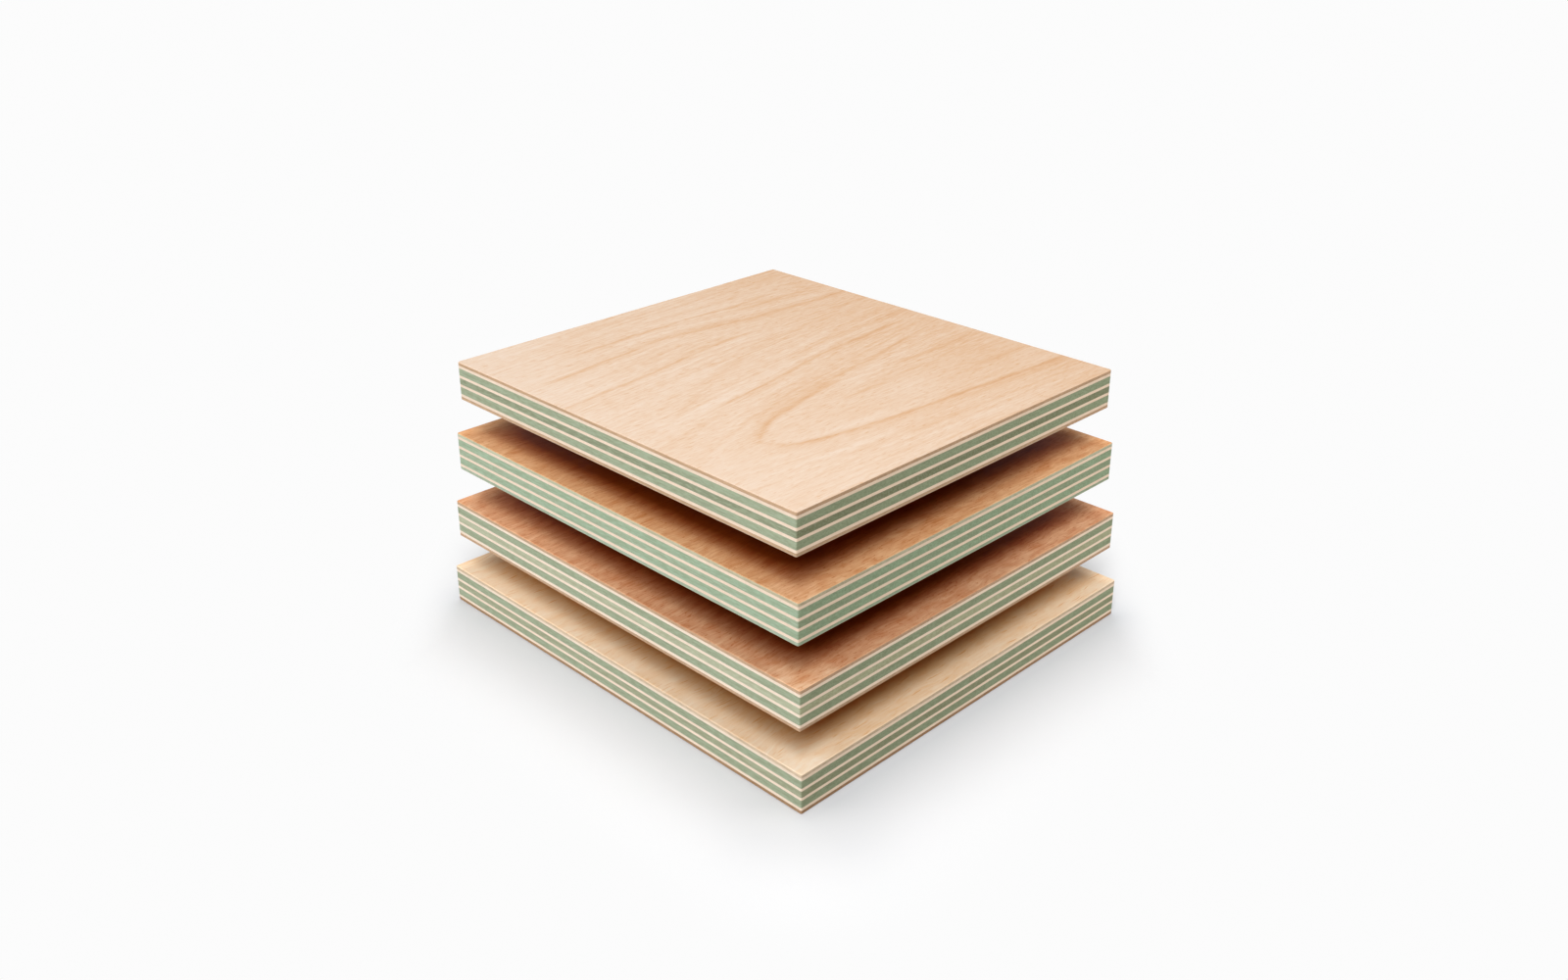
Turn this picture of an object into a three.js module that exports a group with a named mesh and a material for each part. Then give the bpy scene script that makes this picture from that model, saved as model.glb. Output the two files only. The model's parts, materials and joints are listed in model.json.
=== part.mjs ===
// A stack of four plywood sheets with short wooden spacers between them.
// Millimetres, +Z up. The origin is the middle of the bottom sheet's underside.
// X runs across the grain of the faces, Y along it.

import * as THREE from 'three';

// Sheets
const topSheetLength = 210; // along X
const topSheetWidth = 196; // along Y
const lengthGrowth = 6; // each sheet is this much longer than the one on top of it
const widthGrowth = 4; // and this much wider
const cornerRadius = 0.7; // upright corners, rubbed soft by handling
const veneerArris = 0.25; // sanding takes this much off the sharp edge of a face or back veneer

// Plies
const veneerThickness = 0.5; // face and back veneer
const crossbandThickness = 1.1; // under each veneer
const paleThickness = 1.3; // the four pale plies
const greenThickness = 3.35; // the two plies dyed alike
const middleThickness = 2.9; // the ply in the middle, dyed another shade

// Spacers
const gapHeight = 16.5; // clear height between two sheets
const spacerWidth = 22; // along Y
const spacerSetback = 40; // from the top sheet's edges to the spacers, on every side
const spacerArris = 0.8; // planed edges of a spacer

// Fineness
const cornerSegments = 4; // straight pieces in each rounded corner
const heightGrid = 1 / 64; // heights keep to this grid, so touching pieces meet on the very same plane

// Colours of the woods
const tones = {
  peachFace: 0xf0d0ae,
  orangeFace: 0xd0945f,
  redFace: 0xcf8d66,
  mapleFace: 0xecd0ac,
  brownCrossband: 0xb98c66,
  khakiCrossband: 0xb09f7e,
  greenCrossband: 0x86a586,
  palePly: 0xf4dcc4,
  greenPly: 0x8fae8c,
  darkGreenPly: 0x808a68,
  olivePly: 0x909a78,
  lightOlivePly: 0xa3ad8a,
  paleBack: 0xe8cdac,
  greenBack: 0xc5d6b4,
  brownBack: 0xb98a62,
  spacer: 0xd9b98c,
};
const woodRoughness = 0.75;

// The layup of one sheet, from the face down. It reads the same from either side,
// and the grain of each ply crosses that of the next.
const layup = [
  { name: 'face_veneer', thickness: veneerThickness },
  { name: 'upper_crossband', thickness: crossbandThickness },
  { name: 'pale_ply_1', thickness: paleThickness },
  { name: 'upper_green_ply', thickness: greenThickness },
  { name: 'pale_ply_2', thickness: paleThickness },
  { name: 'middle_ply', thickness: middleThickness },
  { name: 'pale_ply_3', thickness: paleThickness },
  { name: 'lower_green_ply', thickness: greenThickness },
  { name: 'pale_ply_4', thickness: paleThickness },
  { name: 'lower_crossband', thickness: crossbandThickness },
  { name: 'back_veneer', thickness: veneerThickness },
];

// Tones of the plies that are alike in all sheets
const commonTones = {
  pale_ply_1: tones.palePly,
  upper_green_ply: tones.greenPly,
  pale_ply_2: tones.palePly,
  pale_ply_3: tones.palePly,
  lower_green_ply: tones.greenPly,
  pale_ply_4: tones.palePly,
};

// The sheets from the top down, each with the tones of its own plies
const sheets = [
  {
    name: 'top_sheet',
    tones: {
      face_veneer: tones.peachFace,
      upper_crossband: tones.brownCrossband,
      middle_ply: tones.darkGreenPly,
      lower_crossband: tones.brownCrossband,
      back_veneer: tones.paleBack,
    },
  },
  {
    name: 'second_sheet',
    tones: {
      face_veneer: tones.orangeFace,
      upper_crossband: tones.khakiCrossband,
      middle_ply: tones.olivePly,
      lower_crossband: tones.greenCrossband,
      back_veneer: tones.greenBack,
    },
  },
  {
    name: 'third_sheet',
    tones: {
      face_veneer: tones.redFace,
      upper_crossband: tones.brownCrossband,
      middle_ply: tones.lightOlivePly,
      lower_crossband: tones.brownCrossband,
      back_veneer: tones.paleBack,
    },
  },
  {
    name: 'bottom_sheet',
    tones: {
      face_veneer: tones.mapleFace,
      upper_crossband: tones.khakiCrossband,
      middle_ply: tones.olivePly,
      lower_crossband: tones.brownCrossband,
      back_veneer: tones.brownBack,
    },
  },
];

// Nearest height on the grid
function onGrid(height) {
  return Math.round(height / heightGrid) * heightGrid;
}

// Outline of a panel with rounded corners, centred on the origin
function panelOutline(length, width, radius) {
  const x = length / 2 - radius;
  const y = width / 2 - radius;
  const outline = new THREE.Shape();
  outline.absarc(x, -y, radius, -Math.PI / 2, 0);
  outline.absarc(x, y, radius, 0, Math.PI / 2);
  outline.absarc(-x, y, radius, Math.PI / 2, Math.PI);
  outline.absarc(-x, -y, radius, Math.PI, 1.5 * Math.PI);
  return outline.extractPoints(cornerSegments).shape;
}

// A solid lofted through rings of one outline, each at its height z and drawn in by its inset
function panelSolid(length, width, radius, rings) {
  const outlines = rings.map(({ inset }) =>
    panelOutline(length - 2 * inset, width - 2 * inset, radius - inset),
  );
  const count = outlines[0].length;
  const positions = outlines.flatMap((outline, ring) =>
    outline.flatMap((point) => [point.x, point.y, rings[ring].z]),
  );
  const walls = [];
  for (let ring = 0; ring < rings.length - 1; ring += 1) {
    for (let i = 0; i < count; i += 1) {
      const low = ring * count + i;
      const lowNext = ring * count + ((i + 1) % count);
      walls.push(low, lowNext, lowNext + count, low, lowNext + count, low + count);
    }
  }
  const lid = THREE.ShapeUtils.triangulateShape(outlines.at(-1), []);
  const lastRing = (rings.length - 1) * count;
  const top = lid.flatMap(([a, b, c]) => [a + lastRing, b + lastRing, c + lastRing]);
  const bottom = lid.flatMap(([a, b, c]) => [a, c, b]);
  const geometry = new THREE.BufferGeometry();
  geometry.setAttribute('position', new THREE.Float32BufferAttribute(positions, 3));
  geometry.setIndex([...walls, ...top, ...bottom]);
  geometry.computeVertexNormals();
  return geometry;
}

function wood(tone) {
  return new THREE.MeshStandardMaterial({ color: tone, roughness: woodRoughness, metalness: 0 });
}

// Rings of a ply. Its edges are square, apart from the outer arris of the face and back veneers.
function plyRings(index, thickness) {
  const easedBelow = index === layup.length - 1 ? veneerArris : 0;
  const easedAbove = index === 0 ? veneerArris : 0;
  const rings = [
    { z: 0, inset: easedBelow },
    { z: easedBelow, inset: 0 },
    { z: thickness - easedAbove, inset: 0 },
    { z: thickness, inset: easedAbove },
  ];
  return rings.filter((ring, i) => i === 0 || ring.z > rings[i - 1].z);
}

// One sheet: its plies pressed together, with its underside at z = 0
function sheetGroup(sheet, length, width) {
  const group = new THREE.Group();
  const plyTones = { ...commonTones, ...sheet.tones };
  let depth = 0;
  layup.forEach((ply, index) => {
    const top = onGrid(sheetThickness - depth);
    depth += ply.thickness;
    const bottom = onGrid(sheetThickness - depth);
    const geometry = panelSolid(length, width, cornerRadius, plyRings(index, top - bottom));
    const mesh = new THREE.Mesh(geometry, wood(plyTones[ply.name]));
    mesh.name = `${sheet.name}_${ply.name}`;
    mesh.position.z = bottom;
    group.add(mesh);
  });
  return group;
}

// The two spacers that carry a sheet, standing at z = 0
function spacerPair(sheetName) {
  const group = new THREE.Group();
  const rings = [
    { z: 0, inset: spacerArris },
    { z: spacerArris, inset: 0 },
    { z: gap - spacerArris, inset: 0 },
    { z: gap, inset: spacerArris },
  ];
  const length = topSheetLength - 2 * spacerSetback;
  const fromMiddle = topSheetWidth / 2 - spacerSetback - spacerWidth / 2;
  const geometry = panelSolid(length, spacerWidth, 2 * spacerArris, rings);
  const front = new THREE.Mesh(geometry, wood(tones.spacer));
  front.name = `front_spacer_under_${sheetName}`;
  front.position.y = -fromMiddle;
  const back = new THREE.Mesh(geometry, wood(tones.spacer));
  back.name = `back_spacer_under_${sheetName}`;
  back.position.y = fromMiddle;
  group.add(front, back);
  return group;
}

const gap = onGrid(gapHeight);
const sheetThickness = onGrid(layup.reduce((sum, ply) => sum + ply.thickness, 0));
const stack = new THREE.Group();

sheets.forEach((sheet, level) => {
  const length = topSheetLength + level * lengthGrowth;
  const width = topSheetWidth + level * widthGrowth;
  const sheetsBelow = sheets.length - 1 - level;
  const group = sheetGroup(sheet, length, width);
  group.position.z = sheetsBelow * (sheetThickness + gap);
  stack.add(group);
  if (sheetsBelow > 0) {
    const spacers = spacerPair(sheet.name);
    spacers.position.z = group.position.z - gap;
    stack.add(spacers);
  }
});

export default stack;
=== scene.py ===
import json
import math
import bpy
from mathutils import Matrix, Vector


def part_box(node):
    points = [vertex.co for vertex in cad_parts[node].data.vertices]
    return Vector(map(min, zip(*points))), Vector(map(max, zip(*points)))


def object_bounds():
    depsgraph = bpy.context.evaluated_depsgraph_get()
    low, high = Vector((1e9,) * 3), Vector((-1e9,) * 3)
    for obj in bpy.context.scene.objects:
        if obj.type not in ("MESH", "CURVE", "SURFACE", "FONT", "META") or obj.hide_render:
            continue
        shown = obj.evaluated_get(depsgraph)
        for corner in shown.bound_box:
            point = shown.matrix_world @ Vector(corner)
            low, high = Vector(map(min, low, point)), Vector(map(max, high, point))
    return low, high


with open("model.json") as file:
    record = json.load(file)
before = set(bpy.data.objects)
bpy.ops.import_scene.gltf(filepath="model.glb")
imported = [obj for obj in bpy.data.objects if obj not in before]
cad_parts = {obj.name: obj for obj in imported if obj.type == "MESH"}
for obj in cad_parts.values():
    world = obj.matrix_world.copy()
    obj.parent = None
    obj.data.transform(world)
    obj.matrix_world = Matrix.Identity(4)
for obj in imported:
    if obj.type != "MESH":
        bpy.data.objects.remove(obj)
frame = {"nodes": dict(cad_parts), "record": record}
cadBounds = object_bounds()
print("frame:", len(frame["nodes"]), "pieces of wood")

mm = 0.001
span = 120  # mm to either side of the middle, a little more than half the stack's length
white = (1.0, 1.0, 1.0, 1.0)
sheetNames = ("bottom_sheet", "third_sheet", "second_sheet", "top_sheet")
undersides = [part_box(sheet + "_back_veneer")[0][2] / mm for sheet in sheetNames]
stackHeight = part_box("top_sheet_face_veneer")[1][2] / mm


class Wire:
    # One output of a node. A sum or product of wires adds the Math node it needs.
    def __init__(self, bench, socket):
        self.bench = bench
        self.socket = socket

    def math(self, operation, *others):
        return self.bench.add("Math", {"operation": operation}, dict(enumerate((self, *others))))

    def __add__(self, other):
        return self.math("ADD", other)

    def __sub__(self, other):
        return self.math("SUBTRACT", other)

    def __rsub__(self, other):
        return self.bench.add("Math", {"operation": "SUBTRACT"}, {0: other, 1: self})

    def __mul__(self, other):
        return self.math("MULTIPLY", other)

    def __truediv__(self, other):
        return self.math("DIVIDE", other)

    def __rtruediv__(self, other):
        return self.bench.add("Math", {"operation": "DIVIDE"}, {0: other, 1: self})

    def __pow__(self, other):
        return self.math("POWER", other)

    def __neg__(self):
        return self.math("MULTIPLY", -1.0)

    def __abs__(self):
        return self.math("ABSOLUTE")

    __radd__ = __add__
    __rmul__ = __mul__


class Bench:
    # The node tree of a material or a world
    def __init__(self, owner):
        owner.use_nodes = True
        self.owner = owner
        self.tree = owner.node_tree
        self.tree.nodes.clear()

    def add(self, kind, settings=None, sockets=None, output=0):
        node = self.tree.nodes.new("ShaderNode" + kind)
        for name, value in (settings or {}).items():
            if name == "stops":
                self.setStops(node.color_ramp, value)
            elif name == "steps":
                self.setStops(node.color_ramp, value)
                node.color_ramp.interpolation = "CONSTANT"
            elif name == "path":
                self.setPath(node.mapping, value)
            else:
                setattr(node, name, value)
        for name, value in (sockets or {}).items():
            if isinstance(value, Wire):
                self.tree.links.new(value.socket, node.inputs[name])
            else:
                node.inputs[name].default_value = value
        return Wire(self, node.outputs[output]) if node.outputs else None

    def setStops(self, ramp, stops):
        # A ramp is born with two stops, at 0 and 1
        for position, color in stops[1:-1]:
            ramp.elements.new(position)
        for element, (position, color) in zip(ramp.elements, stops):
            element.position = position
            element.color = color

    def setPath(self, mapping, points):
        # A curve is born with two points, at 0 and 1
        curve = mapping.curves[0]
        for position, height in points[1:-1]:
            curve.points.new(position, height)
        for point, place in zip(curve.points, points):
            point.location = place
        mapping.update()

    def split(self, vector):
        parts = self.add("SeparateXYZ", sockets={0: vector}).socket.node
        return [Wire(self, parts.outputs[axis]) for axis in range(3)]

    def place(self):
        # Where a point of the wood is, as x, y and z in millimetres
        sockets = {0: self.add("TexCoord", output=3), "Scale": 1 / mm}
        return self.split(self.add("VectorMath", {"operation": "SCALE"}, sockets))

    def facing(self):
        # How far the wood's surface looks along X and how far it looks up, each from -1 to 1
        normal = self.split(self.add("NewGeometry", output=1))
        return normal[0], normal[2]

    def seen(self):
        # 1 for a ray that shows the background: the camera's own, or one by way of gloss or glass
        rays = self.add("LightPath").socket.node.outputs
        kinds = ("Is Camera Ray", "Is Glossy Ray", "Is Transmission Ray")
        camera, glossy, clear = (Wire(self, rays[kind]) for kind in kinds)
        return camera.math("MAXIMUM", glossy).math("MAXIMUM", clear)

    def noise(self, x, y, z, detail=2.0):
        # Soft lumps one unit across, from 0 to 1 and mostly near the middle
        vector = self.add("CombineXYZ", sockets={0: x, 1: y, 2: z})
        return self.add("TexNoise", sockets={"Vector": vector, "Scale": 1.0, "Detail": detail})

    def sway(self, amount, x, y, z):
        # The same lumps as a shift to either side of nothing
        return (self.noise(x, y, z) - 0.5) * (2 * amount)

    def specks(self, x, y, z, marks):
        # Sparse marks one unit across: 0 where the lumps are below the first level, 1 above the second
        return self.ramp(self.noise(x, y, z, 1.0), *marks)

    def ramp(self, wire, low, high):
        # 0 at low, 1 at high, smooth between
        sockets = {"Value": wire, "From Min": low, "From Max": high}
        return self.add("MapRange", {"interpolation_type": "SMOOTHSTEP"}, sockets)

    def mix(self, factor, under, over, blend="MIX"):
        # Colors, over laid on under
        settings = {"data_type": "RGBA", "blend_type": blend}
        return self.add("Mix", settings, {0: factor, 6: under, 7: over}, output=2)

    def tint(self, color, tone):
        return self.mix(1.0, color, tone, "MULTIPLY")

    def vary(self, color, depth, light, dark):
        # A color made lighter where the depth is below 0 and darker where it is above
        return self.tint(color, self.mix(depth * 0.5 + 0.5, tinted(1, light), tinted(1, dark)))

    def shades(self, depth, pale, line, lift):
        # From pale, raised by lift at a depth of -1, through line at 1, to three times as deep
        stops = [((step + 1) / 4, deepened(pale, line, step)) for step in (0, 1, 2, 3)]
        stops.insert(0, (0.0, deepened(pale, line, -lift)))
        return self.add("ValToRGB", {"stops": stops}, {0: depth / 4 + 0.25})

    def follow(self, y, points):
        # The x of a curve through points from front to back, each an x and a y in millimetres
        whole = 2 * span
        path = [((pointY + span) / whole, (pointX + span) / whole) for pointX, pointY in points]
        return self.add("FloatCurve", {"path": path}, {"Value": (y + span) / whole}) * whole - span

    def finish(self, look, color, rougher, height):
        # The surface. rougher adds to the look's roughness, and the look's relief is in millimetres.
        bump = {"Strength": 1.0, "Distance": look["relief"] * mm, "Height": height}
        sockets = {
            "Base Color": color,
            "Roughness": rougher + look["roughness"],
            "Normal": self.add("Bump", sockets=bump),
            "Specular IOR Level": look["gloss"],
        }
        surface = self.add("BsdfPrincipled", sockets=sockets)
        self.add("OutputMaterial", sockets={"Surface": surface})
        return self.owner


def linear(value):
    value /= 255
    return value / 12.92 if value <= 0.04045 else ((value + 0.055) / 1.055) ** 2.4


def srgb(red, green, blue):
    # A color as a screen shows it, 0 to 255, in the shader's own numbers
    return (linear(red), linear(green), linear(blue), 1.0)


def deepened(pale, line, depth):
    # The step from pale to line, taken depth times
    ends = zip(srgb(*pale)[:3], srgb(*line)[:3])
    return tuple(start * (end / start) ** depth for start, end in ends) + (1.0,)


def tinted(tone, tint):
    return tuple(tone * share for share in tint) + (1.0,)


def grey(tone):
    return tinted(tone, (1, 1, 1))


cameraLook = {
    "place": (419.0, -418.7, 346.7),  # mm
    "azimuth": 44.95,  # degrees, 0 looks along +Y
    "pitch": 23.89,  # degrees below level
    "lens": 33.11,
    "shift": -0.03,
}

# Lamps: which way from the stack and how high, in degrees, how far off and how big, in metres.
# share is how bright the lamp alone makes a white card that faces it. The low lamps only fill the
# shade and leave no sheen.
lampLooks = {
    "keyLamp": {
        "azimuth": 42, "elevation": 56, "distance": 2.2, "size": (0.85, 1.05), "share": 0.63,
        "sheen": True},
    "lowLamp": {
        "azimuth": 36, "elevation": 36, "distance": 2.2, "size": (0.85, 0.6), "share": 0.36,
        "sheen": False},
    "overheadLamp": {
        "azimuth": 225, "elevation": 78, "distance": 2.0, "size": (0.9, 0.9), "share": 0.34,
        "sheen": True},
    "leftLamp": {
        "azimuth": -28, "elevation": 1, "distance": 1.3, "size": (0.6, 0.1), "share": 0.31,
        "sheen": False},
    "rightLamp": {
        "azimuth": 122, "elevation": 3, "distance": 0.6, "size": (0.3, 0.08), "share": 0.16,
        "sheen": False},
    "backLamp": {
        "azimuth": 225, "elevation": 2, "distance": 1.3, "size": (0.6, 0.1), "share": 0.34,
        "sheen": False},
}

studio = {
    "fill": 0.08,  # light from all round
    "backdrop": 0.972,  # tone of the backdrop, and of the floor beyond the shade
    "floorSide": 24.0,  # m
    "bounce": 0.42,  # tone of the floor that throws light back at the wood
    "floorTone": 0.85,  # of the shaded floor
    "floorTint": (0.983, 0.987, 1.0),
    "contactShadeTone": 0.66,  # painted shade on the floor right beside the stack
    "contactShadeTint": (0.93, 0.955, 1.0),  # cool tint of that painted shade, which evens out the warm light thrown back by the wood
    "contactShadeReach": 18,  # mm from the stack over which the floor's tone rises out of the painted shade
    "footprint": (4, 0, 114, 104),  # mm, the middle, half the length and half the width it starts from
    "litCorner": (202, 230),  # mm along X - Y, where painted light lightens the floor towards the near corner
    "litMiddle": 10,  # mm along X + Y, the middle of that lighter floor
    "litReach": 46,  # mm along X + Y, from there to either end of it
    "litShare": 0.7,
    "clearSides": (212, 250),  # mm along X + Y either way, where the shade ends beside the stack
    "shadowReach": (18, 72),  # mm from the stack, where the shaded floor turns into plain white
}


def makeCamera(look):
    data = bpy.data.cameras.new("camera")
    data.lens = look["lens"]
    data.shift_y = look["shift"]
    camera = bpy.data.objects.new("camera", data)
    camera.location = [value * mm for value in look["place"]]
    camera.rotation_euler = (math.radians(90 - look["pitch"]), 0, math.radians(look["azimuth"]))
    bpy.context.collection.objects.link(camera)
    bpy.context.scene.camera = camera


def makeLamp(name, look, target):
    data = bpy.data.lights.new(name, "AREA")
    data.shape = "RECTANGLE"
    data.size, data.size_y = look["size"]
    data.energy = look["share"] * math.pi ** 2 * look["distance"] ** 2
    lamp = bpy.data.objects.new(name, data)
    around = math.radians(look["azimuth"])
    up = math.radians(look["elevation"])
    back = Vector((math.sin(around) * math.cos(up), -math.cos(around) * math.cos(up), math.sin(up)))
    lamp.location = target + back * look["distance"]
    lamp.rotation_euler = back.to_track_quat("Z", "Y").to_euler()
    lamp.visible_camera = False
    lamp.visible_glossy = look["sheen"]
    bpy.context.collection.objects.link(lamp)


def makeFloor(look):
    bpy.ops.object.select_all(action="DESELECT")
    bpy.ops.mesh.primitive_plane_add(size=look["floorSide"], location=(0, 0, 0))
    floor = bpy.context.object
    floor.name = "floor"
    bench = Bench(bpy.data.materials.new("paleFloor"))
    seen = bench.seen()
    x, y = bench.place()[:2]
    middleX, middleY, halfLength, halfWidth = look["footprint"]
    awayX = (abs(x - middleX) - halfLength).math("MAXIMUM", 0.0)
    awayY = (abs(y - middleY) - halfWidth).math("MAXIMUM", 0.0)
    away = (awayX * awayX + awayY * awayY) ** 0.5
    # Painted shade on the floor beside the stack, fading outwards
    contactShade = (away / -look["contactShadeReach"]).math("EXPONENT")
    # Painted light that lightens the floor's painted shade towards the near corner
    lit = bench.ramp(abs(x + y - look["litMiddle"]), look["litReach"], 0)
    lit = lit * bench.ramp(x - y, *look["litCorner"]) * look["litShare"]
    pale = tinted(look["floorTone"], look["floorTint"])
    tone = bench.mix(contactShade * (1 - lit), pale, tinted(look["contactShadeTone"], look["contactShadeTint"]))
    color = bench.mix(seen, grey(look["bounce"]), tone)
    sockets = {"Base Color": color, "Roughness": 1.0, "Specular IOR Level": 0.0}
    shaded = bench.add("BsdfPrincipled", sockets=sockets)
    plain = bench.add("Emission", sockets={"Color": grey(look["backdrop"])})
    beyond = bench.ramp(away, *look["shadowReach"])
    beside = bench.ramp(abs(x + y), *look["clearSides"])
    far = beyond.math("MAXIMUM", beside)
    surface = bench.add("MixShader", sockets={0: far * seen, 1: shaded, 2: plain})
    bench.add("OutputMaterial", sockets={"Surface": surface})
    floor.data.materials.append(bench.owner)


def makeWorld(look):
    bench = Bench(bpy.data.worlds.new("studio"))
    seen = bench.seen()
    strength = seen * (look["backdrop"] - look["fill"]) + look["fill"]
    sky = bench.add("Background", sockets={"Color": white, "Strength": strength})
    bench.add("OutputWorld", sockets={"Surface": sky})
    bpy.context.scene.world = bench.owner


middle = (cadBounds[0] + cadBounds[1]) / 2
makeCamera(cameraLook)
makeWorld(studio)
makeFloor(studio)
for lampName, lampLook in lampLooks.items():
    makeLamp(lampName, lampLook, middle)
bpy.context.scene.view_settings.view_transform = "Standard"
print("studio: camera, floor and lamps")

# Edges of the plies. The grain of the crossbands, the green plies and the middle ply runs along X,
# so they show long fibres on the sheets' front and back and end grain on the other two sides.
# The flank tint is what the color is multiplied by where the edge faces along X: painted shade on those
# sides, which on plies whose grain runs along X also stands for their darker end grain.
warmFlankGrainAndShade = (0.90, 0.87, 0.84)
flankShadeShares = (0.90, 1.0)  # painted shade: what a flank is multiplied by again at the near corner and at the far one
flankShadeReach = 110  # mm along Y from the middle to either corner
acrossPly = {
    "grain": "x", "fibres": 2.8, "streaks": 1.9, "patches": 1.0, "specks": 0.8,
    "marks": (0.60, 0.75),  # levels over which a speck comes out, lower for more of them
    "light": (1.06, 1.07, 1.09), "dark": (0.87, 0.86, 0.84), "flankGrainAndShade": warmFlankGrainAndShade,
    "roughness": 0.68, "relief": 0.05, "gloss": 0.1}
alongPly = dict(
    acrossPly, grain="y", fibres=0.9, streaks=0.6, patches=0.7, specks=0.3, relief=0.04)
edgeLooks = {
    "brown_crossband": dict(
        acrossPly, seed=1.0, color=(199, 165, 133),
        third_sheet=(201, 167, 136), bottom_sheet=(172, 138, 105)),
    "khaki_crossband": dict(
        acrossPly, seed=2.0, color=(217, 193, 165), second_sheet=(196, 196, 168),
        nearCornerShade=(196, 184, 155),  # painted shade towards the near corner of the second sheet
        nearReach=(60, 205)),  # mm along X - Y, where that begins and where it is full
    "green_crossband": dict(acrossPly, seed=3.0, color=(170, 184, 161), flankGrainAndShade=(0.80, 0.80, 0.71)),
    "pale_ply": dict(
        alongPly, seed=4.0, color=(241, 220, 199), flankGrainAndShade=(1.0, 0.94, 0.88),
        third_sheet=(246, 228, 209), bottom_sheet=(245, 226, 206)),
    "green_ply": dict(
        acrossPly, seed=5.0, color=(163, 173, 146), flankGrainAndShade=(0.78, 0.78, 0.69),
        second_sheet=(164, 183, 156)),
    "dark_green_ply": dict(
        acrossPly, fibres=4.2, seed=6.0, color=(152, 160, 133), flankGrainAndShade=(0.73, 0.69, 0.60)),
    "olive_ply": dict(
        acrossPly, seed=7.0, color=(168, 172, 144), flankGrainAndShade=(0.72, 0.71, 0.62),
        second_sheet=(168, 183, 157)),
    "light_olive_ply": dict(acrossPly, seed=8.0, color=(186, 189, 161), flankGrainAndShade=(0.83, 0.80, 0.70)),
}


def sheetColor(bench, look, z):
    # The color of a finish, which may differ a little from sheet to sheet
    colors = [look.get(sheet, look["color"]) for sheet in sheetNames]
    if len(set(colors)) == 1:
        return srgb(*look["color"])
    steps = [(underside / stackHeight, srgb(*color)) for underside, color in zip(undersides, colors)]
    return bench.add("ValToRGB", {"steps": steps}, {0: z / stackHeight})


def edgeTexture(bench, look, x, y, z):
    # Depth of color, around 0, and the relief that goes with it
    seed = look["seed"]
    along, across = (x, y) if look["grain"] == "x" else (y, x)
    level = z + bench.sway(0.3, along / 16, across / 16, z / 3)
    fibres = bench.sway(look["fibres"], along / 3.2, across / 1.2, level / 0.7 + seed)
    streaks = bench.sway(look["streaks"], along / 20, across / 4, level / 0.9 + seed)
    patches = bench.sway(look["patches"], along / 30, across / 14, z / 2.6 + seed)
    specks = bench.specks(along / 3, across / 0.4, z / 0.3 + seed, look["marks"])
    return fibres + streaks + patches + specks * look["specks"], fibres - specks


def tintFlankGrainAndShade(bench, color, flankGrainAndShade, sideways, y):
    # Painted shade on the sides that face along X, deeper towards the front; on plies whose grain runs
    # along X it is also their end grain's darker tone
    near, far = (tinted(share, flankGrainAndShade) for share in flankShadeShares)
    tone = bench.mix(bench.ramp(y, -flankShadeReach, flankShadeReach), near, far)
    return bench.tint(color, bench.mix(sideways * sideways, white, tone))


def makeEdge(name, look):
    bench = Bench(bpy.data.materials.new(name))
    x, y, z = bench.place()
    sideways = bench.facing()[0]
    color = sheetColor(bench, look, z)
    if "nearCornerShade" in look:
        # Painted shade on the second sheet's crossband towards the near corner
        corner = bench.ramp(x - y + bench.sway(70, x / 40, y / 40, z / 9), *look["nearReach"])
        underside = undersides[sheetNames.index("second_sheet")]
        second = bench.ramp(z, underside - 1, underside)
        color = bench.mix(corner * second, color, srgb(*look["nearCornerShade"]))
    depth, relief = edgeTexture(bench, look, x, y, z)
    color = bench.vary(color, depth, look["light"], look["dark"])
    color = tintFlankGrainAndShade(bench, color, look["flankGrainAndShade"], sideways, y)
    return bench.finish(look, color, relief * 0.06, relief)


# Planed battens with the grain along X: straight lines on their sides, arcs of growth rings on the ends
spacerLook = {
    "pale": (214, 178, 136),
    "line": (176, 128, 84),
    "heart": (14, -26),  # mm, y and z of the middle of the rings
    "ring": 2.4,  # mm from ring to ring
    "rings": 0.32,
    "fibres": 0.5,
    "streaks": 0.5,
    "pores": 0.5,
    "marks": (0.62, 0.75),
    "lift": 1.0,
    "deepness": 0.5,
    "roughness": 0.62,
    "relief": 0.06,
    "gloss": 0.2,
}


def makeSpacer(name, look):
    bench = Bench(bpy.data.materials.new(name))
    x, y, z = bench.place()
    heartY, heartZ = look["heart"]
    sideY, sideZ = y - heartY, z - heartZ
    radius = (sideY * sideY + sideZ * sideZ) ** 0.5 + bench.sway(1.5, x / 50, y / 14, z / 14)
    rings = (radius * (2 * math.pi / look["ring"])).math("SINE") * look["rings"]
    fibres = bench.sway(look["fibres"], x / 9, y / 0.5, z / 0.5)
    streaks = bench.sway(look["streaks"], x / 45, y / 2.5, z / 2.5)
    pores = bench.specks(x / 3, y / 0.4, z / 0.4, look["marks"])
    depth = rings + fibres + streaks + pores * look["pores"] + look["deepness"]
    color = bench.shades(depth, look["pale"], look["line"], look["lift"])
    return bench.finish(look, color, fibres * 0.08, fibres - rings * 0.5 - pores)


faceTurn = (0.4, 0.8)  # how far up the surface looks where a veneer's edge turns into its face

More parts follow.
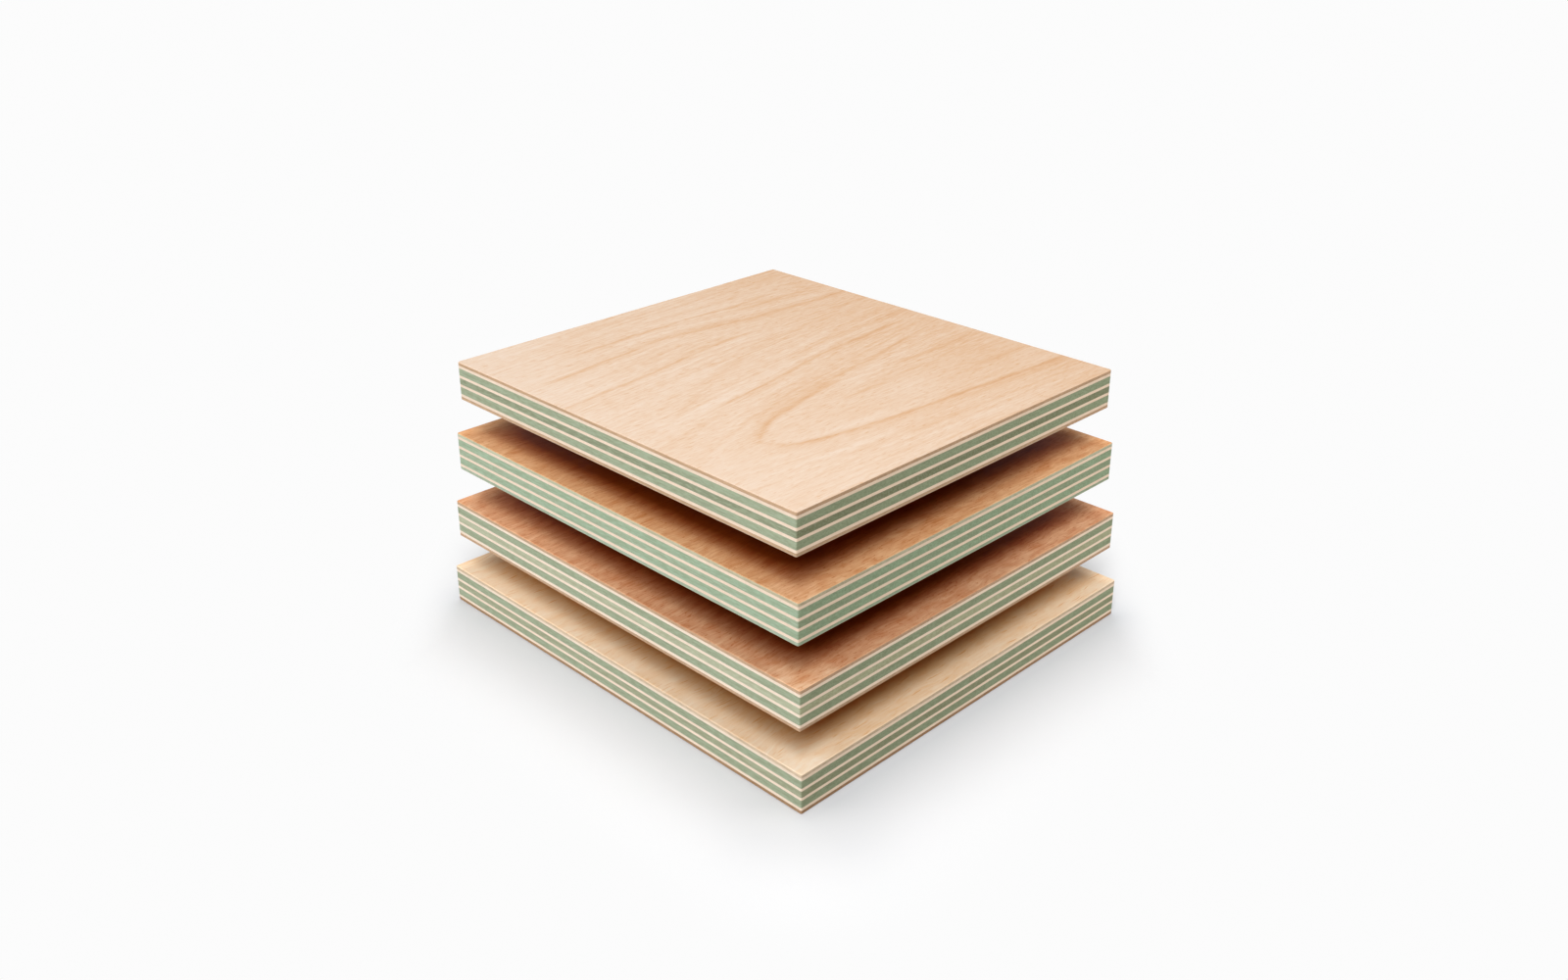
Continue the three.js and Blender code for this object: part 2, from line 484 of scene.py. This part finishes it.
# Face veneers, with the grain along Y. A ring is how far the wood is from the heart of the figure.
peachFace = {
    "pale": (229, 205, 183),
    "line": (220, 184, 151),
    "edge": (199, 165, 133),
    "flankGrainAndShade": warmFlankGrainAndShade,
    "tip": (55, -64),  # mm, x and y of the tip of the arch
    "middleLean": -0.055,
    "spread": 6.9,  # how fast the arch opens
    "bloom": 32,  # widens the arch just behind its tip
    "roundness": 1400,
    "bulge": {"at": -60, "width": 26, "from": -15, "lean": 0.22},
    "ragged": 1.0,
    "wander": 1.6,
    # The arch: its ring, strength, width, how much wider its left arm is, the reach of its soft outer
    # side and of the paler wood inside it, and the y over which the left arm fades
    "arch": {
        "ring": 37.5, "strength": 1.3, "width": 1.2, "leftWidth": 0.6, "reach": 4.0,
        "innerPale": 0.35, "fade": (-4, 8)},
    "inside": (33, 42),  # rings over which the wood in the arch gives way to that outside it
    "right": (-20, 10),  # mm from the middle of the arch, where the wood to the right of it begins
    # Growth lines and short strokes: strength, width and the x and y of points from front to back
    "lines": (
        (0.90, 0.9, ((-74.5, -62), (-75, -40), (-76, -15), (-75.7, 15), (-74.5, 40), (-75.5, 62))),
        (0.55, 1.0, ((-68, 44), (-68.6, 70), (-67.5, 100))),
        (0.90, 1.1, ((-55, -82), (-58, -58), (-60.6, -34), (-63.3, -18), (-62, -6), (-59.4, 14),
                     (-56.3, 32), (-54, 58), (-53.4, 100))),
        (0.40, 0.9, ((-65, -24), (-64.6, -8), (-62, 22))),
        (1.05, 1.0, ((-27.5, -98), (-30.6, -72), (-33, -50), (-36, -30), (-38.3, -14), (-40.8, 2),
                     (-41.6, 20))),
        (0.45, 1.0, ((-39, -24), (-42.4, -8), (-44.5, 4))),
        (0.30, 1.0, ((-23, 20), (-30, 46), (-36, 68), (-39, 88))),
        (0.38, 2.6, ((10, -68), (3, -54), (-8, -34), (-18, -8), (-24, 8), (-31, 26))),
        (0.57, 1.5, ((-3.5, 12), (-9.2, 38), (-11, 60), (-12, 84), (-12, 100))),
        (0.95, 0.9, ((14.8, -50), (11, -24), (7.5, -4), (3.8, 13), (0.6, 34), (-0.4, 54), (-2.2, 78))),
        (0.60, 0.9, ((-0.3, 48), (2.4, 58), (2.6, 66))),
        (0.85, 1.1, ((25.5, 8), (24, 18), (21.4, 38), (17.6, 54), (14.4, 66))),
        (0.45, 0.8, ((90, -84), (89, -50), (88, -20), (89, 14))),
        (0.40, 0.8, ((90, 58), (91, 100))),
        (0.65, 1.2, ((33, 40), (33.8, 60), (33.4, 92))),
        (0.30, 1.0, ((45, 44), (41, 66), (37, 84))),
        (0.60, 0.9, ((45.2, -6), (44, 12), (42.4, 40))),
        (0.60, 1.4, ((58.5, 62), (60, 76), (60, 94))),
    ),
    # Pale bands beside some of them
    "paleBands": (
        (0.28, 2.6, ((-69, -30), (-68.5, 0), (-66.5, 22), (-63, 44), (-61.5, 66), (-60, 100))),
        (0.22, 1.8, ((-79.5, -10), (-78.5, 20), (-77.5, 50))),
        (0.30, 2.2, ((17, -84), (12, -56), (6, -20), (0, 12), (-5, 40), (-6.5, 60), (-6.5, 84))),
        (0.22, 2.0, ((-27, -50), (-32, -26), (-36, 0), (-38, 16))),
        (0.22, 2.0, ((-45, -30), (-48, -4), (-46.5, 18))),
        (0.24, 1.6, ((33, 6), (29, 26), (27, 44), (27.5, 62))),
        (0.20, 2.0, ((84, -84), (80, -50), (78, -20))),
    ),
    "lineWobble": 1.0,
    "bands": 0.24,
    "innerBands": 0.38,
    "streaks": 0.82,
    "innerStreaks": 0.78,
    "fibres": 1.1,
    "pores": 0.95,
    "marks": (0.60, 0.74),
    "patches": 0.35,
    "quiet": 0.35,  # how much smoother the wood is in the arch
    "quietRight": 0.30,  # and how much less its fibres show to the right of it
    "backward": 0.001,  # how much stronger streaks and fibres get with each mm towards the back
    "lift": 0.55,  # how much of a light streak is left
    "deepness": 0.42,
    "shadeSlope": (0.0004, 0.0040),  # painted shade: how much deeper the tone gets with each mm along X and along Y
    "roughness": 0.58,
    "relief": 0.05,
    "gloss": 0.1,
}
lineFade = (8, 6)  # mm beyond a growth line's ends and within them, over which it fades


def archRings(bench, look, x, y, z):
    # A rotary-cut face: rings that open into a tall arch, ragged where the cut runs along them
    tipX, tipY = look["tip"]
    up = y - tipY + bench.sway(look["ragged"], x / 1.4, y / 24, z / 8)
    bulge = look["bulge"]
    offset = (x - bulge["at"]) / bulge["width"]
    lean = (y - bulge["from"]).math("MAXIMUM", 0.0) * bulge["lean"]
    lean = (-(offset * offset)).math("EXPONENT") * lean
    across = x - lean - (tipX + up * look["middleLean"])
    rise = up * look["spread"] + bench.ramp(up, -4, 14) * look["bloom"]
    heart = (across * across - rise + look["roundness"]).math("MAXIMUM", 0.0) ** 0.5
    spacing = heart / (across * across + (look["spread"] / 2) ** 2) ** 0.5  # mm of wood to a ring
    wobble = bench.sway(look["wander"], x / 22, y / 55, z / 40)
    wobble = wobble + bench.sway(0.5, x / 3, y / 14, z / 40)
    return heart + wobble, spacing, across


def archLine(bench, look, ring, spacing, across, y):
    # A dark line that is soft on its outer side and thinner round the tip
    beyond = (ring - look["ring"]) * spacing
    scaled = beyond / (bench.ramp(across, 4, -14) * look["leftWidth"] + look["width"])
    outer = (beyond.math("MAXIMUM", 0.0) / -look["reach"]).math("EXPONENT")
    outer = outer * bench.ramp(beyond, -1.5, 1.0)
    arms = bench.ramp(abs(across), 3, 11) * 0.6 + 0.4
    fade = 1 - bench.ramp(across, 6, -6) * bench.ramp(y, *look["fade"])
    inner = (abs(beyond + look["reach"]) / -look["reach"]).math("EXPONENT") * look["innerPale"]
    return ((0.75 / (scaled * scaled + 1) + outer * 0.4) * look["strength"] - inner) * arms * fade


def growthLines(bench, lines, x, y):
    before, within = lineFade
    drawn = []
    for strength, width, points in lines:
        away = (x - bench.follow(y, points)) / width
        start, end = points[0][1], points[-1][1]
        shown = bench.ramp(y, start - before, start + within)
        shown = shown * bench.ramp(y, end + before, end - within)
        drawn.append(shown * strength / (away * away + 1))
    return sum(drawn[1:], drawn[0])


veneerEdgeLook = dict(alongPly, seed=11.0, light=(1.08, 1.09, 1.10), dark=(0.92, 0.91, 0.90))


def addEdge(bench, look, face, x, y, z):
    # The thin edge of a veneer round its face
    sideways, upward = bench.facing()
    depth = edgeTexture(bench, veneerEdgeLook, x, y, z)[0]
    edge = bench.vary(srgb(*look["edge"]), depth, veneerEdgeLook["light"], veneerEdgeLook["dark"])
    edge = tintFlankGrainAndShade(bench, edge, look["flankGrainAndShade"], sideways, y)
    return bench.mix(bench.ramp(upward, *faceTurn), edge, face)


def makeArchFace(name, look):
    bench = Bench(bpy.data.materials.new(name))
    x, y, z = bench.place()
    ring, spacing, across = archRings(bench, look, x, y, z)
    side = across / 60  # the two arms of the arch differ a little
    outside = bench.ramp(ring, *look["inside"])
    inside = 1 - outside
    broken = bench.ramp(bench.noise(x / 7, y / 16, 3.0), 0.25, 0.65) * 0.4 + 0.6
    wobbled = x + bench.sway(look["lineWobble"], x / 2.2, y / 11, 5.0)
    wobbled = wobbled + bench.sway(0.5, x / 14, y / 30, 6.0)
    wobbled = wobbled + bench.sway(0.6, x / 0.8, y / 9, 4.0)
    drawn = growthLines(bench, look["lines"], wobbled, y)
    drawn = drawn - growthLines(bench, look["paleBands"], wobbled, y)
    lines = (drawn + archLine(bench, look["arch"], ring, spacing, across, y)) * broken
    rightward = bench.ramp(across, *look["right"])
    quiet = rightward * inside * look["quiet"]
    quietFibres = quiet + rightward * outside * look["quietRight"]
    stronger = y * look["backward"] + 1
    bands = bench.sway(look["bands"], ring / 7, y / 130, side) * outside
    bands = bands + bench.sway(look["innerBands"], x / 7, y / 80, 8.0) * inside
    streaks = bench.sway(look["streaks"], ring / 1.3, y / 50, side) * outside
    streaks = streaks + bench.sway(look["innerStreaks"], x / 1.3, y / 34, 9.0) * inside
    streaks = streaks * ((1 - quiet) * stronger)
    fibres = bench.sway(look["fibres"], x / 0.55, y / 6, z / 8) * ((1 - quietFibres) * stronger)
    pores = bench.specks(x / 0.45, y / 4.5, z / 8 + 7.0, look["marks"])
    # Painted shade, deeper towards the back and along X, with soft patches of tone
    shadeSlopeX, shadeSlopeY = look["shadeSlope"]
    shadeAndPatches = x * shadeSlopeX + y * shadeSlopeY + bench.sway(look["patches"], x / 60, y / 80, z / 40)
    depth = lines + bands + streaks + fibres + pores * look["pores"] + shadeAndPatches
    face = bench.shades(depth + look["deepness"], look["pale"], look["line"], look["lift"])
    color = addEdge(bench, look, face, x, y, z)
    return bench.finish(look, color, streaks * 0.06, fibres * 0.6 - pores * 0.5)


# The faces of the lower sheets: soft cloudy patches, wavy fibres and short dark dashes.
# A reach is where a zone of the face begins and where it is full.
orangeFace = {
    "pale": (232, 185, 139),
    "line": (204, 139, 88),
    "edge": (196, 196, 168),
    "flankGrainAndShade": warmFlankGrainAndShade,
    "seed": 21.0,
    "bands": 0.5,
    "clouds": 0.8,
    "fibres": 0.8,
    "dashes": 0.8,
    "dashMarks": (0.60, 0.74),
    "flecks": 0.0,
    "fleckMarks": (0.64, 0.74),
    "lift": 0.6,
    "deepness": 0.5,
    "corner": (0.95, 0.95, 0.95),  # painted shade: tint of the near corner
    "cornerReach": (20, 110),  # mm of X - Y / 2
    "tipLight": (1.17, 1.24, 1.36),  # painted light: tint of its very tip, which lifts the shade there
    "tipLightReach": (26, 0),  # mm along X + Y, to either side of the tip
    "tipLightDepth": (-60, -12),  # mm along X - Y, short of the tip
    "ends": (1.13, 1.13, 1.13),  # painted light: tint towards the two corners beside it
    "endsReach": (120, 172),  # mm along X + Y, either way
    # Painted shade under the next sheet, deeper and warmer than the rim: mm in from the edge and tint
    "gapShade": (
        (3, (1, 1, 1)), (9, (0.90, 0.80, 0.72)), (12.5, (0.77, 0.54, 0.42)),
        (16, (0.62, 0.31, 0.16)), (20, (0.395, 0.13, 0.018))),
    "pace": (0.95, 1.15),  # how fast that comes in from the edges along Y, and from those along X
    "roughness": 0.55,
    "relief": 0.05,
    "gloss": 0.1,
}
redFace = dict(
    orangeFace, pale=(234, 184, 143), line=(204, 134, 89), edge=(201, 167, 136), seed=33.0,
    corner=(0.80, 0.80, 0.80), tipLight=(1.52, 1.85, 2.10), ends=(1.11, 1.11, 1.11),
    pace=(1.11, 0.95))
mapleFace = dict(
    orangeFace, pale=(250, 230, 202), line=(240, 200, 154), edge=(217, 193, 165), seed=45.0,
    clouds=0.5, fibres=0.5, dashes=0.3, flecks=1.3, deepness=0.45,
    corner=(0.86, 0.85, 0.84), tipLight=(1.23, 1.34, 1.48), ends=(1.06, 1.06, 1.06),
    gapShade=(
        (3, (1, 1, 1)), (9, (1, 0.94, 0.85)), (16, (1, 0.80, 0.53)),
        (20, (0.87, 0.52, 0.22)), (25, (0.54, 0.25, 0.07))),
    pace=(1.12, 1.0))
gapShadeSpan = 30  # mm, more than the last of those
leastInward = 0.1  # mm, so that an edge's distance never comes to nothing
cornerPower = 4  # how square the corners of the painted shade are


def makeCloudyFace(name, look, sheet):
    bench = Bench(bpy.data.materials.new(name))
    halfLength, halfWidth = (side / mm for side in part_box(sheet + "_face_veneer")[1][:2])
    x, y, z = bench.place()
    seed = look["seed"]
    bent = x + bench.sway(4.0, x / 26, y / 40, seed) + bench.sway(0.9, x / 5, y / 9, seed)
    bands = bench.sway(look["bands"], bent / 9, y / 90, seed + 1)
    clouds = bench.sway(look["clouds"], bent / 4.5, y / 11, seed + 2)
    fibres = bench.sway(look["fibres"], bent / 0.9, y / 9, seed + 3)
    dashes = bench.specks(bent / 0.55, y / 2.6, seed + 4, look["dashMarks"])
    flecks = bench.specks(bent / 0.75, y / 12, seed + 5, look["fleckMarks"])
    depth = bands + clouds + fibres + dashes * look["dashes"] + flecks * look["flecks"]
    face = bench.shades(depth + look["deepness"], look["pale"], look["line"], look["lift"])
    # Painted light at the very tip of the near corner
    tipLight = bench.ramp(abs(x + y - (halfLength - halfWidth)), *look["tipLightReach"])
    tipLight = tipLight * bench.ramp(x - y - (halfLength + halfWidth), *look["tipLightDepth"])
    # Painted shade at the near corner, and painted light at its tip and towards the two corners beside
    # it
    zones = {
        "corner": bench.ramp(x - y * 0.5, *look["cornerReach"]),
        "tipLight": tipLight,
        "ends": bench.ramp(abs(x + y), *look["endsReach"]),
    }
    for zone, share in zones.items():
        face = bench.tint(face, bench.mix(share, white, tinted(1, look[zone])))
    # Painted shade under the next sheet, deepening in from the rims
    paceX, paceY = look["pace"]
    inwardX = ((halfLength - abs(x)) * paceX).math("MAXIMUM", leastInward)
    inwardY = ((halfWidth - abs(y)) * paceY).math("MAXIMUM", leastInward)
    # The nearer edge counts, with a rounded corner between
    inward = (inwardX ** -cornerPower + inwardY ** -cornerPower) ** (-1 / cornerPower)
    stops = [(depthIn / gapShadeSpan, tinted(1, tint)) for depthIn, tint in look["gapShade"]]
    under = (inward + bench.sway(1.5, x / 9, y / 14, seed + 6)) / gapShadeSpan
    face = bench.tint(face, bench.add("ValToRGB", {"stops": stops}, {0: under}))
    color = addEdge(bench, look, face, x, y, z)
    return bench.finish(look, color, fibres * 0.05, fibres * 0.6 - dashes * 0.5)


# Back veneers: the underside is darker and redder than the edge that shows at the rim, painted shade
# that darkens the gaps between the sheets; the third sheet's underside is paler instead, to throw more
# light into the gap below it
backLook = dict(
    alongPly, color=(213, 188, 162), light=(1.07, 1.06, 1.05), dark=(0.92, 0.90, 0.88),
    under=(150, 88, 46), bands=1.6, bandLight=(1.08, 1.08, 1.08), bandDark=(0.88, 0.86, 0.84),
    roughness=0.66)
backLooks = {
    "pale_back": dict(backLook, seed=51.0, third_sheet=(195, 160, 128), thirdUnder=(236, 184, 128)),
    "green_back": dict(backLook, seed=52.0, color=(187, 196, 173)),
    "brown_back": dict(backLook, seed=53.0, color=(172, 138, 105)),
}


def makeBack(name, look):
    bench = Bench(bpy.data.materials.new(name))
    x, y, z = bench.place()
    sideways, upward = bench.facing()
    depth, relief = edgeTexture(bench, look, x, y, z)
    edge = tintFlankGrainAndShade(bench, sheetColor(bench, look, z), look["flankGrainAndShade"], sideways, y)
    bands = bench.sway(look["bands"], x / 8, y / 90, look["seed"])
    tones = dict(look, color=look["under"], third_sheet=look.get("thirdUnder", look["under"]))
    under = bench.vary(sheetColor(bench, tones, z), bands, look["bandLight"], look["bandDark"])
    color = bench.mix(bench.ramp(-upward, *faceTurn), edge, under)
    color = bench.vary(color, depth, look["light"], look["dark"])
    return bench.finish(look, color, relief * 0.05, relief)


made = {slot: makeEdge(slot, look) for slot, look in edgeLooks.items()}
made.update({slot: makeBack(slot, look) for slot, look in backLooks.items()})
print("edges and undersides:", len(made), "finishes")
made["spacer_wood"] = makeSpacer("spacer_wood", spacerLook)
made["peach_face"] = makeArchFace("peach_face", peachFace)
made["orange_face"] = makeCloudyFace("orange_face", orangeFace, "second_sheet")
made["red_face"] = makeCloudyFace("red_face", redFace, "third_sheet")
made["maple_face"] = makeCloudyFace("maple_face", mapleFace, "bottom_sheet")
print("with the spacers and the faces:", len(made), "finishes")
for part in frame["record"]["subparts"]:
    piece = frame["nodes"][part["node"]]
    piece.data.materials.clear()
    piece.data.materials.append(made[part["material_slot"]])
